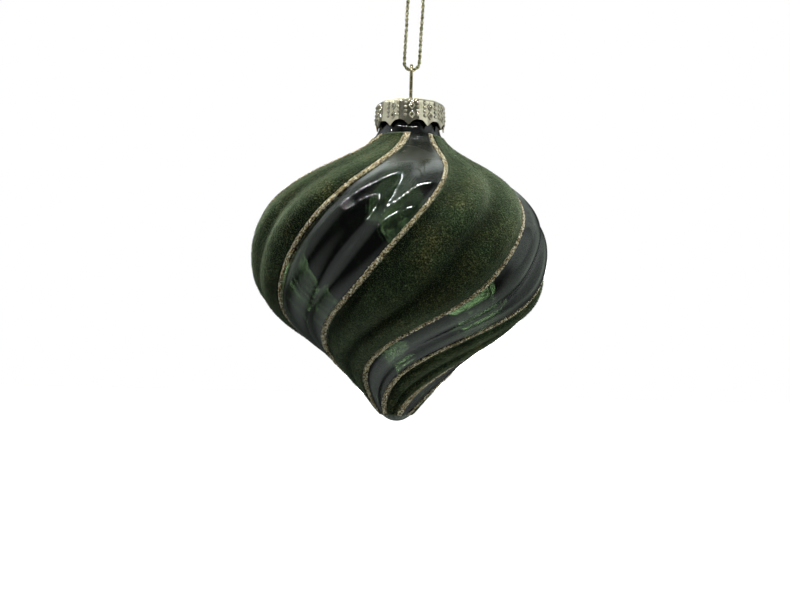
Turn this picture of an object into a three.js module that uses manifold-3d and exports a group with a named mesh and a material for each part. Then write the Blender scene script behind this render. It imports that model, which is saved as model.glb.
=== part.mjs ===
// Blown glass bauble with spiral ribs, flocked bands, glitter lines, a crown cap and a hanging cord.
// Millimetres, +Z up. The origin is the hang point, where the two strands of the cord meet.
import * as THREE from "three";
import { mergeVertices } from "three/addons/utils/BufferGeometryUtils.js";
import Module from "manifold-3d";

const wasm = await Module();
wasm.setup();

// Cord
const cordDiameter = 1.0;
const loopDrop = 27; // hang point down to the middle of the bight
const strandSpacing = 4.1; // between the centre lines of the two strands
const cordLean = 1.0; // the hang point stands this far to +X of the bight
const strandMeet = 1.1; // spacing of the strands where they enter the knot
const strandDrop = 8; // the strands draw together over this height
const strandShares = [0, 0.25, 0.65, 1]; // shares of that height where the route has points
const bightAngles = [-75, -50, -25, 0, 25, 50, 75]; // degrees round the bight, 0 at its bottom
const knotDiameter = 3.6;
const knotHeight = 3.8;
const knotEnds = 0.55; // width of the knot's two ends, as a share of its diameter
const tailLength = 5.5; // above the knot
const tailSplay = 28; // degrees from the vertical
const tailSpacing = 0.6; // between the tails where they leave the middle of the knot
const tailRoot = 0.7; // height of that place, as a share of the knot's height

// Hanger wire: an eye above the cap and two springy legs in the neck
const wireDiameter = 0.86;
const eyeRadius = 2.5; // centre line of the arch
const eyeAboveCap = 9.4; // middle of the bight above the top of the cap
const shankSpacing = 1.5; // centre lines of the two strands in the hole of the cap
const shankAbove = 1.6; // the strands run straight this far above the cap
const legLength = 17; // below the underside of the cap
const legStraight = 1.2; // straight below the cap before the legs spread
const legCurl = 1.2; // the feet draw in by this much
const legHeights = [0.22, 0.5, 0.75]; // shares of the spreading height, from the top
const legReaches = [0.45, 0.9, 1]; // shares of the reach to the neck's wall at those heights
const eyeAngles = [15, 45, 75, 105]; // degrees round each half of the arch, 0 at its top

// Crown cap of thin sheet metal
const capPanels = 11;
const capRadius = 9.65; // at the creases, at the lower edge
const capShoulderRadius = 9.3; // at the creases, below the rounded shoulder
const capTopRadius = 7.7; // edge of the flat top
const capShoulder = 1.25; // height of the rounded shoulder
const capSkirt = 6.05; // top down to the crests of the scalloped edge
const capTab = 1.5; // pointed tabs below the scallops
const capTabShare = 0.6; // width of a tab, as a share of a panel
const capScallop = 0.5; // how far the scallops rise towards the creases
const capTurn = -3; // degrees, the middle of the front panel from straight ahead
const capTopFlat = 0.4; // how far the edge of the top follows the flat panels, 0 to 1
const capSheet = 0.35;
const capHole = 1.7; // radius

// Glass
const bellyRadius = 39.6;
const neckRadius = 8.1;
const glassWall = 0.8;
const neckWall = 1.1;
const neckBaseDrop = 5.9; // top of the cap down to the foot of the neck
const bellyDrop = 40.8; // top of the cap down to the widest level
const taperDrop = 35.5; // widest level down to the start of the tip
const taperRadius = 11;
const tipDrop = 45.3; // widest level down to the lowest point
const bellyUp = 22.4; // how long the outline stays full above the widest level
const bellyDown = 17.9; // and below it
const neckFlare = 12; // height of the hollow curve into the neck
const taperRun = 17.4; // height of the hollow curve into the tip
const taperSlope = 1.03; // radius lost per millimetre of height at the tip's start
const tipRun = 4.9;
const tipBlunt = 4.4; // half width of the blunt end
const neckOffset = 1.95; // the blown neck stands this far to +X of the body's axis
const neckBendFrom = 29.6; // top of the cap down to where the axis starts to bend
const neckBendTo = 1.6;

// Spiral ribs pressed into the glass
const sectors = 4;
const ribsPerSector = 4;
const ribDepth = 1.8; // at the widest level
const ribThinning = 0.8; // the power of the radius that the depth follows
const ribValley = 1.5; // above 1 the valleys are narrower than the crests
const ribFadeFrom = 23.4; // top of the cap down to where the ribs start to fade
const ribFadeTo = 9.6;
const twistRate = 1.28; // degrees per millimetre of height, at the belly and above
const twistRateTip = 4.05; // the same towards the tip
const twistEaseFrom = 5.7; // widest level down to where the twist quickens
const twistEaseOver = 22;
const spiralStart = -42; // degrees, first glitter line at the widest level, 0 faces -Y

// Flocked bands and glitter lines
const glossWidth = 40.5; // degrees of bare glass in each sector
const layerGap = 0.17; // between a layer and the glass under it
const flockThickness = 0.45;
const flockSideGap = 0.15; // between a flocked band and the glitter line beside it
const lineWidth = 1.75;
const lineHeight = 0.55;
const lineShoulder = 0.3; // height of a line's edge
const lineCrown = 0.8; // width between the two shoulders, as a share of the line's width
const bandTopDrop = 9.5; // top of the cap down to the upper ends
const bandTipRise = 1.7; // lower ends above the lowest point

// Fits
const runningGap = 0.3;

// Facets
const fullTurn = 360; // degrees
const columnsPerRib = 4;
const rowStep = 3.7;
const outlineSteps = 600;
const normalStep = 0.05; // half the height over which a slope of the glass is measured
const crowding = 0.25; // least spacing of a band's columns, as a share of even spacing
const roundSides = 8; // of wire and cord
const cordSteps = 36;
const wireSteps = 48;
const knotSides = 14;
const knotSteps = 6;
const tailSteps = 3;

// Heights
const biteZ = -loopDrop;
const capTopZ = biteZ - eyeAboveCap;
const capUnderZ = capTopZ - capSheet;
const rimZ = capUnderZ - runningGap;
const neckBaseZ = capTopZ - neckBaseDrop;
const bellyZ = capTopZ - bellyDrop;
const tipZ = bellyZ - tipDrop;
const eyeX = -cordLean;
const bodyX = eyeX - neckOffset;
const wireRadius = wireDiameter / 2;
const cordRadius = cordDiameter / 2;
const ribCount = sectors * ribsPerSector;

const degrees = THREE.MathUtils.degToRad;
const smooth = (x, from, to) => THREE.MathUtils.smoothstep(x, Math.min(from, to), Math.max(from, to));

// Finishes
const darkGlass = new THREE.MeshStandardMaterial({ color: 0x1b2622, roughness: 0.05, metalness: 0.3 });
const flock = new THREE.MeshStandardMaterial({ color: 0x24361e, roughness: 1.0, metalness: 0.0 });
const glitter = new THREE.MeshStandardMaterial({ color: 0xa8946a, roughness: 0.45, metalness: 0.7 });
const champagne = new THREE.MeshStandardMaterial({ color: 0xc9c3ac, roughness: 0.25, metalness: 1.0 });
const brassWire = new THREE.MeshStandardMaterial({ color: 0xa88f55, roughness: 0.3, metalness: 1.0 });
const goldCord = new THREE.MeshStandardMaterial({ color: 0x8c8350, roughness: 0.5, metalness: 0.6 });

const bauble = new THREE.Group();

function addPart(name, geometry, material) {
  const mesh = new THREE.Mesh(geometry, material);
  mesh.name = name;
  bauble.add(mesh);
}

// A closed surface from points and triangles, turned to face outwards.
function closedGeometry(points, triangles) {
  const edge = new THREE.Vector3();
  let volume = 0;
  for (const [a, b, c] of triangles) volume += points[a].dot(edge.crossVectors(points[b], points[c]));
  const index = volume < 0 ? triangles.flatMap(([a, b, c]) => [a, c, b]) : triangles.flat();
  const geometry = new THREE.BufferGeometry().setFromPoints(points);
  geometry.setIndex(index);
  geometry.computeVertexNormals();
  return geometry;
}

// Two triangles over a four-sided patch, split along its shorter diagonal.
function patch(points, a, b, c, d) {
  if (points[a].distanceTo(points[c]) <= points[b].distanceTo(points[d])) return [[a, b, c], [a, c, d]];
  return [[a, b, d], [b, c, d]];
}

// Outline of the glass: blunt tip, hollow taper, full belly, hollow shoulder, straight neck
function glassOutline() {
  const at = (radius, height) => new THREE.Vector2(radius, height);
  const taperZ = bellyZ - taperDrop;
  const tip = new THREE.CubicBezierCurve(
    at(0, tipZ),
    at(tipBlunt, tipZ),
    at(taperRadius - taperSlope * tipRun, taperZ - tipRun),
    at(taperRadius, taperZ),
  );
  const taper = new THREE.CubicBezierCurve(
    at(taperRadius, taperZ),
    at(taperRadius + taperSlope * taperRun, taperZ + taperRun),
    at(bellyRadius, bellyZ - bellyDown),
    at(bellyRadius, bellyZ),
  );
  const shoulder = new THREE.CubicBezierCurve(
    at(bellyRadius, bellyZ),
    at(bellyRadius, bellyZ + bellyUp),
    at(neckRadius, neckBaseZ - neckFlare),
    at(neckRadius, neckBaseZ),
  );
  const neck = new THREE.LineCurve(at(neckRadius, neckBaseZ), at(neckRadius, rimZ));
  const outline = new THREE.CurvePath();
  for (const curve of [tip, taper, shoulder, neck]) outline.add(curve);
  return outline;
}

const outline = glassOutline();
const outlinePoints = outline.getSpacedPoints(outlineSteps);

function radiusAt(z) {
  const k = outlinePoints.findIndex((p) => p.y >= z);
  if (k <= 0) return k < 0 ? neckRadius : 0;
  const [low, high] = [outlinePoints[k - 1], outlinePoints[k]];
  return THREE.MathUtils.mapLinear(z, low.y, high.y, low.x, high.x);
}

// Turn of the spiral at a height, in degrees from the widest level
function twistAt(z) {
  const below = Math.max(0, bellyZ - twistEaseFrom - z) / twistEaseOver;
  const eased = below < 1 ? below ** 3 - below ** 4 / 2 : below - 0.5;
  return twistRate * (z - bellyZ) - (twistRateTip - twistRate) * twistEaseOver * eased;
}

function ribDepthAt(z) {
  const fade = 1 - smooth(z, capTopZ - ribFadeFrom, capTopZ - ribFadeTo);
  return ribDepth * (radiusAt(z) / bellyRadius) ** ribThinning * fade;
}

const axisAt = (z) => bodyX + neckOffset * smooth(z, capTopZ - neckBendFrom, capTopZ - neckBendTo);

// A point of the glass: around is in degrees from the first glitter line at that height.
function glassPoint(z, around) {
  const valley = ((1 + Math.cos(degrees(ribCount * around))) / 2) ** ribValley;
  const radius = Math.max(0, radiusAt(z) - ribDepthAt(z) * valley);
  const angle = degrees(spiralStart + twistAt(z) + around);
  return new THREE.Vector3(axisAt(z) + radius * Math.sin(angle), -radius * Math.cos(angle), z);
}

function glassNormal(z, around) {
  const up = glassPoint(z + normalStep, around).sub(glassPoint(z - normalStep, around));
  const side = glassPoint(z, around + 1).sub(glassPoint(z, around - 1));
  return side.cross(up).normalize();
}

// Heights of the rows of facets, with rows exactly at the bands' ends and at the widest level
const bandTopZ = capTopZ - bandTopDrop;
const bandTipZ = tipZ + bandTipRise;

function rowHeights() {
  const count = Math.round(outline.getLength() / rowStep);
  const heights = outline.getSpacedPoints(count).map((p) => p.y);
  for (const z of [bandTopZ, bellyZ, bandTipZ, neckBaseZ]) {
    const gaps = heights.map((h) => Math.abs(h - z));
    const nearest = Math.min(Math.max(gaps.indexOf(Math.min(...gaps)), 1), count - 1);
    heights[nearest] = z;
  }
  return heights.sort((a, b) => a - b);
}

// Columns of facets, with a column exactly on each edge of the bare glass
function columnAngles() {
  const perSector = ribsPerSector * columnsPerRib;
  const step = fullTurn / sectors / perSector;
  const edgeColumn = Math.round(glossWidth / step);
  const angles = [];
  for (let sector = 0; sector < sectors; sector += 1) {
    for (let k = 0; k < perSector; k += 1) {
      angles.push((sector * fullTurn) / sectors + (k === edgeColumn ? glossWidth : k * step));
    }
  }
  return angles;
}

const heights = rowHeights();
const columns = columnAngles();

// Hollow glass: ribbed outside, a wall of even thickness, open at the rim
function glassBody() {
  const points = [glassPoint(tipZ, 0)];
  const triangles = [];
  const outerRows = [];
  for (const z of heights.slice(1)) {
    outerRows.push(points.length);
    for (const around of columns) points.push(glassPoint(z, around));
  }
  const innerColumns = columns.filter((_, k) => k % 2 === 0);
  const innerRows = [];
  const innerHeights = heights.slice(2).filter((_, k, all) => (all.length - 1 - k) % 2 === 0);
  for (const z of innerHeights) {
    const wall = THREE.MathUtils.lerp(glassWall, neckWall, smooth(z, bandTopZ, neckBaseZ));
    innerRows.push(points.length);
    for (const around of innerColumns) {
      points.push(glassPoint(z, around).addScaledVector(glassNormal(z, around), -wall));
    }
  }
  const pole = points.push(new THREE.Vector3(axisAt(tipZ), 0, tipZ + glassWall * 2)) - 1;
  const n = columns.length;
  for (let k = 0; k < n; k += 1) {
    const next = (k + 1) % n;
    triangles.push([0, outerRows[0] + next, outerRows[0] + k]);
    for (let row = 1; row < outerRows.length; row += 1) {
      const [low, high] = [outerRows[row - 1], outerRows[row]];
      triangles.push(...patch(points, low + k, low + next, high + next, high + k));
    }
  }
  const m = innerColumns.length;
  const outerRim = outerRows.at(-1);
  const innerRim = innerRows.at(-1);
  for (let k = 0; k < m; k += 1) {
    const next = (k + 1) % m;
    triangles.push([pole, innerRows[0] + k, innerRows[0] + next]);
    for (let row = 1; row < innerRows.length; row += 1) {
      const [low, high] = [innerRows[row - 1], innerRows[row]];
      triangles.push(...patch(points, high + k, high + next, low + next, low + k));
    }
    const [first, middle, last] = [2 * k, 2 * k + 1, (2 * k + 2) % n].map((c) => outerRim + c);
    triangles.push([first, middle, innerRim + k]);
    triangles.push([middle, innerRim + next, innerRim + k]);
    triangles.push([middle, last, innerRim + next]);
  }
  return closedGeometry(points, triangles);
}

// A point on the facets of the glass, lifted off them
function onGlass(z, around, lift) {
  const turn = THREE.MathUtils.euclideanModulo(around, fullTurn);
  const after = columns.findIndex((c) => c > turn);
  const high = after < 0 ? fullTurn : columns[after];
  const low = columns[(after < 0 ? columns.length : after) - 1];
  const share = (turn - low) / (high - low);
  const p = glassPoint(z, low).lerp(glassPoint(z, high), share);
  return p.addScaledVector(glassNormal(z, around), lift);
}

// A strip on the glass. Each section is a loop of points: bottom left to right, top right to left.
function strip(sections) {
  const points = sections.flat();
  const n = sections[0].length;
  const triangles = [];
  for (let row = 1; row < sections.length; row += 1) {
    const [low, high] = [(row - 1) * n, row * n];
    for (let k = 0; k < n; k += 1) {
      const next = (k + 1) % n;
      triangles.push(...patch(points, low + k, low + next, high + next, high + k));
    }
  }
  const last = (sections.length - 1) * n;
  for (let k = 0; 2 * k < n - 1; k += 1) {
    const [a, b, c, d] = [k, k + 1, n - 2 - k, n - 1 - k];
    if (b < c) {
      triangles.push([d, b, a], [d, c, b]);
      triangles.push([last + a, last + b, last + d], [last + b, last + c, last + d]);
    } else if (b === c) {
      triangles.push([d, b, a], [last + a, last + b, last + d]);
    }
  }
  return closedGeometry(points, triangles);
}

const bandHeights = heights.filter((z) => z >= bandTipZ && z <= bandTopZ);
const halfAngle = (z, width) => THREE.MathUtils.radToDeg(width / 2 / radiusAt(z));

// Flock fills a sector from the right edge of the bare glass to the next line.
function flockBand(sector) {
  const start = (sector * fullTurn) / sectors + glossWidth;
  const end = ((sector + 1) * fullTurn) / sectors;
  const inner = columns.filter((c) => c > start + 1e-6 && c < end - 1e-6);
  const sections = bandHeights.map((z) => {
    const margin = halfAngle(z, lineWidth + 2 * flockSideGap);
    const [left, right] = [start + margin, end - margin];
    const least = (crowding * (right - left)) / (inner.length + 1);
    const kept = inner.map((c, k) => {
      const [low, high] = [left + (k + 1) * least, right - (inner.length - k) * least];
      return Math.min(Math.max(c, low), high);
    });
    const arounds = [left, ...kept, right];
    const bottom = arounds.map((a) => onGlass(z, a, layerGap));
    const top = arounds.map((a) => onGlass(z, a, layerGap + flockThickness));
    return [...bottom, ...top.reverse()];
  });
  return strip(sections);
}

// Glitter laid as a domed bead along an edge of the bare glass
function glitterLine(sector, edge) {
  const around = (sector * fullTurn) / sectors + edge;
  const sections = bandHeights.map((z) => {
    const half = halfAngle(z, lineWidth);
    return [
      onGlass(z, around - half, layerGap),
      onGlass(z, around + half, layerGap),
      onGlass(z, around + half * lineCrown, layerGap + lineShoulder),
      onGlass(z, around, layerGap + lineHeight),
      onGlass(z, around - half * lineCrown, layerGap + lineShoulder),
    ];
  });
  return strip(sections);
}

// Crown cap: flat panels with creases between them, rounded shoulder, scalloped edge with a tab a panel
function crownCap() {
  const panelAngle = (2 * Math.PI) / capPanels;
  const besideTab = (1 + capTabShare) / 2;
  const stations = [];
  for (let panel = 0; panel < capPanels; panel += 1) {
    for (const share of [-1, -besideTab, -capTabShare, 0, capTabShare, besideTab]) {
      const offset = (share * panelAngle) / 2;
      stations.push({
        angle: degrees(capTurn) + panel * panelAngle + offset,
        flat: Math.cos(panelAngle / 2) / Math.cos(offset),
        edge: share === 0 ? capTab : capScallop * (1 - Math.abs(share)) ** 2,
      });
    }
  }
  const steps = stations.length;
  const skirtZ = capTopZ - capSkirt;
  const shoulderZ = capTopZ - capShoulder;
  const around = (angle, radius, z) =>
    new THREE.Vector3(eyeX + radius * Math.sin(angle), -radius * Math.cos(angle), z);
  const ring = (radius, z, flatness, inset) =>
    stations.map(({ angle, flat }) =>
      around(angle, radius * THREE.MathUtils.lerp(1, flat, flatness) - inset, z),
    );
  const edgeRing = (inset) =>
    stations.map(({ angle, flat, edge }) => around(angle, capRadius * flat - inset, skirtZ - edge));
  const shoulderFlat = (1 + capTopFlat) / 2;
  const bend = Math.SQRT1_2;
  const midRadius = capTopRadius + (capShoulderRadius - capTopRadius) * bend;
  const midZ = shoulderZ + capShoulder * bend;
  const rings = [
    ring(capHole, capTopZ, 0, 0),
    ring(capTopRadius, capTopZ, capTopFlat, 0),
    ring(midRadius, midZ, shoulderFlat, 0),
    ring(capShoulderRadius, shoulderZ, 1, 0),
    edgeRing(0),
    edgeRing(capSheet),
    ring(capShoulderRadius, shoulderZ, 1, capSheet),
    ring(midRadius, midZ, shoulderFlat, capSheet),
    ring(capTopRadius, capUnderZ, capTopFlat, capSheet / 2),
    ring(capHole, capUnderZ, 0, 0),
  ];
  const points = rings.flat();
  const triangles = [];
  for (let row = 0; row < rings.length; row += 1) {
    const [low, high] = [row * steps, ((row + 1) % rings.length) * steps];
    for (let k = 0; k < steps; k += 1) {
      const next = (k + 1) % steps;
      triangles.push(...patch(points, low + k, low + next, high + next, high + k));
    }
  }
  return closedGeometry(points, triangles);
}

// A round bar along a smooth curve through the points
function tube(points, radius, steps) {
  const section = new THREE.Shape(
    Array.from({ length: roundSides }, (_, k) => {
      const angle = ((k + 0.5) * 2 * Math.PI) / roundSides;
      return new THREE.Vector2(radius * Math.cos(angle), radius * Math.sin(angle));
    }),
  );
  const path = new THREE.CatmullRomCurve3(points, false, "centripetal");
  const geometry = new THREE.ExtrudeGeometry(section, { steps, bevelEnabled: false, extrudePath: path });
  return { geometry, path };
}

// Half of the wire, from the top of the eye down to a foot; side is +1 or -1 along Y.
function wireHalf(side) {
  const archZ = biteZ + cordRadius + runningGap + wireRadius - eyeRadius;
  const shank = shankSpacing / 2;
  const reach = neckRadius - neckWall - runningGap - wireRadius;
  const at = (y, z) => new THREE.Vector3(eyeX, side * y, z);
  const arch = eyeAngles.map((a) =>
    at(eyeRadius * Math.sin(degrees(a)), archZ + eyeRadius * Math.cos(degrees(a))),
  );
  const neckInZ = capTopZ + shankAbove;
  const spreadZ = capUnderZ - legStraight;
  const footZ = capUnderZ - legLength;
  const leg = legHeights.map((share, k) =>
    at(THREE.MathUtils.lerp(shank, reach, legReaches[k]), THREE.MathUtils.lerp(spreadZ, footZ, share)),
  );
  return [
    ...arch,
    at((eyeRadius + shank) / 2, (archZ - eyeRadius / 2 + neckInZ) / 2),
    at(shank, neckInZ),
    at(shank, spreadZ),
    ...leg,
    at(reach - legCurl, footZ),
  ];
}

function hangerWire() {
  return tube([...wireHalf(-1).reverse(), ...wireHalf(1)], wireRadius, wireSteps).geometry;
}

// Route of the cord: down one strand, under the eye of the wire, up the other
function cordRoute() {
  const half = strandSpacing / 2;
  const at = (x, z) => new THREE.Vector3((-cordLean * z) / biteZ + x, 0, z);
  const bendZ = biteZ + half;
  const strand = (side) => [
    ...strandShares.map((share) =>
      at(side * THREE.MathUtils.lerp(strandMeet / 2, half, smooth(share, 0, 1)), -strandDrop * share),
    ),
    at(side * half, (bendZ - strandDrop) / 2),
    at(side * half, bendZ + cordRadius * 2),
  ];
  const bight = bightAngles.map((a) => at(half * Math.sin(degrees(a)), bendZ - half * Math.cos(degrees(a))));
  return [...strand(-1), ...bight, ...strand(1).reverse()];
}

const solidOf = (geometry) => {
  const bare = new THREE.BufferGeometry().setAttribute("position", geometry.getAttribute("position"));
  if (geometry.index) bare.setIndex(geometry.index);
  const merged = mergeVertices(bare, 1e-4);
  return new wasm.Manifold(
    new wasm.Mesh({
      numProp: 3,
      vertProperties: new Float32Array(merged.getAttribute("position").array),
      triVerts: new Uint32Array(merged.index.array),
    }),
  );
};

const geometryOf = (solid) => {
  const { numProp, vertProperties, triVerts } = solid.getMesh();
  const geometry = new THREE.BufferGeometry();
  const positions = new THREE.BufferAttribute(new Float32Array(vertProperties), numProp);
  geometry.setAttribute("position", positions);
  geometry.setIndex(new THREE.BufferAttribute(new Uint32Array(triVerts), 1));
  geometry.computeVertexNormals();
  return geometry;
};

// The knot over the hang point, with the two cut ends standing out of it
function cordKnot() {
  const base = runningGap;
  const profile = [new THREE.Vector2(0, base)];
  for (let k = 0; k <= knotSteps; k += 1) {
    const a = (Math.PI * k) / knotSteps;
    const radius = (knotDiameter / 2) * THREE.MathUtils.lerp(knotEnds, 1, Math.sin(a));
    profile.push(new THREE.Vector2(radius, base + (knotHeight * (1 - Math.cos(a))) / 2));
  }
  profile.push(new THREE.Vector2(0, base + knotHeight));
  const lump = new THREE.LatheGeometry(profile, knotSides).rotateX(Math.PI / 2);
  const inside = (1 - tailRoot) * knotHeight;
  let knot = solidOf(lump);
  for (const side of [-1, 1]) {
    const angle = degrees(side * tailSplay);
    const root = new THREE.Vector3((side * tailSpacing) / 2, 0, base + knotHeight - inside);
    const along = new THREE.Vector3(Math.sin(angle), 0, Math.cos(angle));
    const points = [0, 1].map((end) => root.clone().addScaledVector(along, end * (inside + tailLength)));
    knot = knot.add(solidOf(tube(points, cordRadius, tailSteps).geometry));
  }
  return geometryOf(knot);
}

addPart("glass_body", glassBody(), darkGlass);
for (let sector = 0; sector < sectors; sector += 1) {
  addPart(`flock_band_${sector + 1}`, flockBand(sector), flock);
  addPart(`glitter_line_${2 * sector + 1}`, glitterLine(sector, 0), glitter);
  addPart(`glitter_line_${2 * sector + 2}`, glitterLine(sector, glossWidth), glitter);
}
addPart("crown_cap", crownCap(), champagne);
addPart("hanger_wire", hangerWire(), brassWire);

const cord = tube(cordRoute(), cordRadius, cordSteps);
addPart("cord_loop", cord.geometry, goldCord);
addPart("cord_knot", cordKnot(), goldCord);
console.log(`cord length ${cord.path.getLength().toFixed(1)} mm`);

export default bauble;
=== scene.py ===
import math

import bpy
import numpy as np
from mathutils import Matrix, Quaternion, Vector


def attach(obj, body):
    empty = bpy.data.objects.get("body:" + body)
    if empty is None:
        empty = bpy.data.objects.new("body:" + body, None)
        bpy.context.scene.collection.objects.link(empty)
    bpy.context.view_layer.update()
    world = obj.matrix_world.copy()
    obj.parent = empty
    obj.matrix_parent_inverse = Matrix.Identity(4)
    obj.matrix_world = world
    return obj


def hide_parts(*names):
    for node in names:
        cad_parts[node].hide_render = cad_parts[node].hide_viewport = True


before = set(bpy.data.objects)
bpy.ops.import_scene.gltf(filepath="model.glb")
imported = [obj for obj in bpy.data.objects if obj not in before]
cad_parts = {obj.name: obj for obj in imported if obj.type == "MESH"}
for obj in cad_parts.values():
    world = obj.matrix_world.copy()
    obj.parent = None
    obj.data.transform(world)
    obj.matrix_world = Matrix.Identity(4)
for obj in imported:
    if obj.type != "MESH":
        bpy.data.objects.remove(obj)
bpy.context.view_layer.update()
scene = bpy.context.scene
scene.view_settings.view_transform = "Standard"
mm = 0.001
print("frame loaded:", len(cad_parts), "nodes")


def addObject(name, data):
    added = bpy.data.objects.new(name, data)
    scene.collection.objects.link(added)
    return added


# Camera at the photograph's place, a little under the widest level of the glass
camera = {
    "stand": (-2.9, -288.0, -101.0),  # millimetres
    "aim": (-0.0039, 0.9991, 0.0421),
    "lean": 1.35,  # degrees about the line of sight
    "lens": 48.51,
}


def makeCamera():
    eye = addObject("camera", bpy.data.cameras.new("camera"))
    turn = Vector(camera["aim"]).to_track_quat("-Z", "Y")
    eye.rotation_mode = "QUATERNION"
    eye.rotation_quaternion = turn @ Quaternion((0, 0, 1), math.radians(camera["lean"]))
    eye.location = Vector(camera["stand"]) * mm
    eye.data.lens = camera["lens"]
    eye.data.sensor_width = 36
    scene.camera = eye


makeCamera()


# Small helpers for node trees: a Term is a value that can be added, multiplied and so on
def connect(tree, socket, value):
    if isinstance(value, Term):
        value = value.source
    if isinstance(value, bpy.types.NodeSocket):
        tree.links.new(value, socket)
    else:
        socket.default_value = value


def addNode(tree, kind, inputs=(), **settings):
    node = tree.nodes.new(kind)
    for key, value in settings.items():
        setattr(node, key, value)
    for socket, value in dict(inputs).items():
        connect(tree, node.inputs[socket], value)
    return node


class Term:
    def __init__(self, tree, source):
        self.tree, self.source = tree, source

    def calc(self, operation, *others, backwards=False):
        values = [self, *others]
        if backwards:
            values.reverse()
        node = addNode(self.tree, "ShaderNodeMath", operation=operation)
        for socket, value in zip(node.inputs, values):
            connect(self.tree, socket, value)
        return Term(self.tree, node.outputs[0])

    def __add__(self, other):
        return self.calc("ADD", other)

    def __sub__(self, other):
        return self.calc("SUBTRACT", other)

    def __rsub__(self, other):
        return self.calc("SUBTRACT", other, backwards=True)

    def __mul__(self, other):
        return self.calc("MULTIPLY", other)

    def __truediv__(self, other):
        return self.calc("DIVIDE", other)

    def __pow__(self, other):
        return self.calc("POWER", other)

    __radd__, __rmul__ = __add__, __mul__

    def smooth(self, low, high, fromValue=0.0, toValue=1.0):
        inputs = {0: self, 1: low, 2: high, 3: fromValue, 4: toValue}
        node = addNode(self.tree, "ShaderNodeMapRange", inputs, interpolation_type="SMOOTHSTEP")
        return Term(self.tree, node.outputs[0])

    def mixed(self, low, high):
        return (high - low) * self + low


def vectorMath(tree, operation, *values):
    node = addNode(tree, "ShaderNodeVectorMath", operation=operation)
    for socket, value in zip(node.inputs, values):
        connect(tree, socket, value)
    return node.outputs["Value" if operation == "DOT_PRODUCT" else "Vector"]


def scaled(tree, vector, factor):
    node = addNode(tree, "ShaderNodeVectorMath", {0: vector, "Scale": factor}, operation="SCALE")
    return node.outputs[0]


def vectorOf(tree, **parts):
    return addNode(tree, "ShaderNodeCombineXYZ", parts).outputs[0]


def partOf(tree, vector, axis):
    return Term(tree, addNode(tree, "ShaderNodeSeparateXYZ", {0: vector}).outputs[axis])


def attributeTerm(tree, name):
    return Term(tree, addNode(tree, "ShaderNodeAttribute", attribute_name=name).outputs["Fac"])


def newTree(name, inputs):
    tree = bpy.data.node_groups.new(name, "GeometryNodeTree")
    kinds = {int: "NodeSocketInt", float: "NodeSocketFloat"}
    for label, value in inputs.items():
        kind = value if isinstance(value, str) else kinds[type(value)]
        socket = tree.interface.new_socket(label, in_out="INPUT", socket_type=kind)
        if not isinstance(value, str):
            socket.default_value = value
    given = tree.nodes.new("NodeGroupInput")
    return tree, lambda label: Term(tree, given.outputs[label])


def endTree(tree, **outputs):
    last = tree.nodes.new("NodeGroupOutput")
    kinds = {"VALUE": "NodeSocketFloat", "VECTOR": "NodeSocketVector", "GEOMETRY": "NodeSocketGeometry"}
    for label, value in outputs.items():
        source = value.source if isinstance(value, Term) else value
        tree.interface.new_socket(label, in_out="OUTPUT", socket_type=kinds[source.type])
        tree.links.new(source, last.inputs[label])


def joined(tree, *geometries):
    node = tree.nodes.new("GeometryNodeJoinGeometry")
    for geometry in reversed(geometries):
        tree.links.new(geometry, node.inputs[0])
    return node.outputs[0]


def painted(tree, geometry, material):
    return addNode(tree, "GeometryNodeSetMaterial", {"Geometry": geometry, "Material": material}).outputs[0]


def smoothed(tree, geometry):
    return addNode(tree, "GeometryNodeSetShadeSmooth", {0: geometry}).outputs[0]


def realized(tree, geometry):
    return addNode(tree, "GeometryNodeRealizeInstances", {0: geometry}).outputs[0]


def shapeOf(tree, guide):
    return addNode(tree, "GeometryNodeObjectInfo", {"Object": guide}).outputs["Geometry"]


def stored(tree, geometry, name, value, domain="POINT"):
    inputs = {"Geometry": geometry, "Name": name, "Value": value}
    node = addNode(tree, "GeometryNodeStoreNamedAttribute", inputs, data_type="FLOAT", domain=domain)
    return node.outputs[0]


def randomValue(tree, low, high, seed, kind="FLOAT"):
    node = addNode(tree, "FunctionNodeRandomValue", data_type=kind)
    sockets = [s for s in node.inputs if s.enabled]
    for socket, value in zip(sockets, (low, high)):
        connect(tree, socket, value)
    connect(tree, node.inputs["Seed"], seed)
    return next(s for s in node.outputs if s.enabled)


def noiseTerm(tree, vector, scale, detail):
    node = addNode(tree, "ShaderNodeTexNoise", {"Vector": vector, "Scale": scale, "Detail": detail})
    return Term(tree, node.outputs[0])


# What a curve's thickness or a tree makes of an object, as a plain mesh
def plainMesh(piece):
    graph = bpy.context.evaluated_depsgraph_get()
    return bpy.data.meshes.new_from_object(piece.evaluated_get(graph), depsgraph=graph)


# Runs a tree on an empty mesh and keeps what it grows
def grow(name, tree, values):
    piece = addObject(name, bpy.data.meshes.new(name))
    modifier = piece.modifiers.new("grow", "NODES")
    modifier.node_group = tree
    for item in tree.interface.items_tree:
        if item.in_out == "INPUT" and item.name in values:
            modifier[item.identifier] = values[item.name]
    mesh = plainMesh(piece)
    piece.modifiers.remove(modifier)
    piece.data = mesh
    mesh.name = name
    print(name, "has", len(mesh.polygons), "faces")
    return piece


def settle(piece, body, slot, *nodes):
    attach(piece, body)
    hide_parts(*nodes)


# Finishes
def newFinish(name, **sockets):
    material = bpy.data.materials.new(name)
    material.use_nodes = True
    tree = material.node_tree
    shader = tree.nodes["Principled BSDF"]
    for label, value in sockets.items():
        shader.inputs[label.replace("_", " ")].default_value = value
    coords = tree.nodes.new("ShaderNodeTexCoord").outputs["Object"]
    return material, tree, shader, coords


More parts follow.
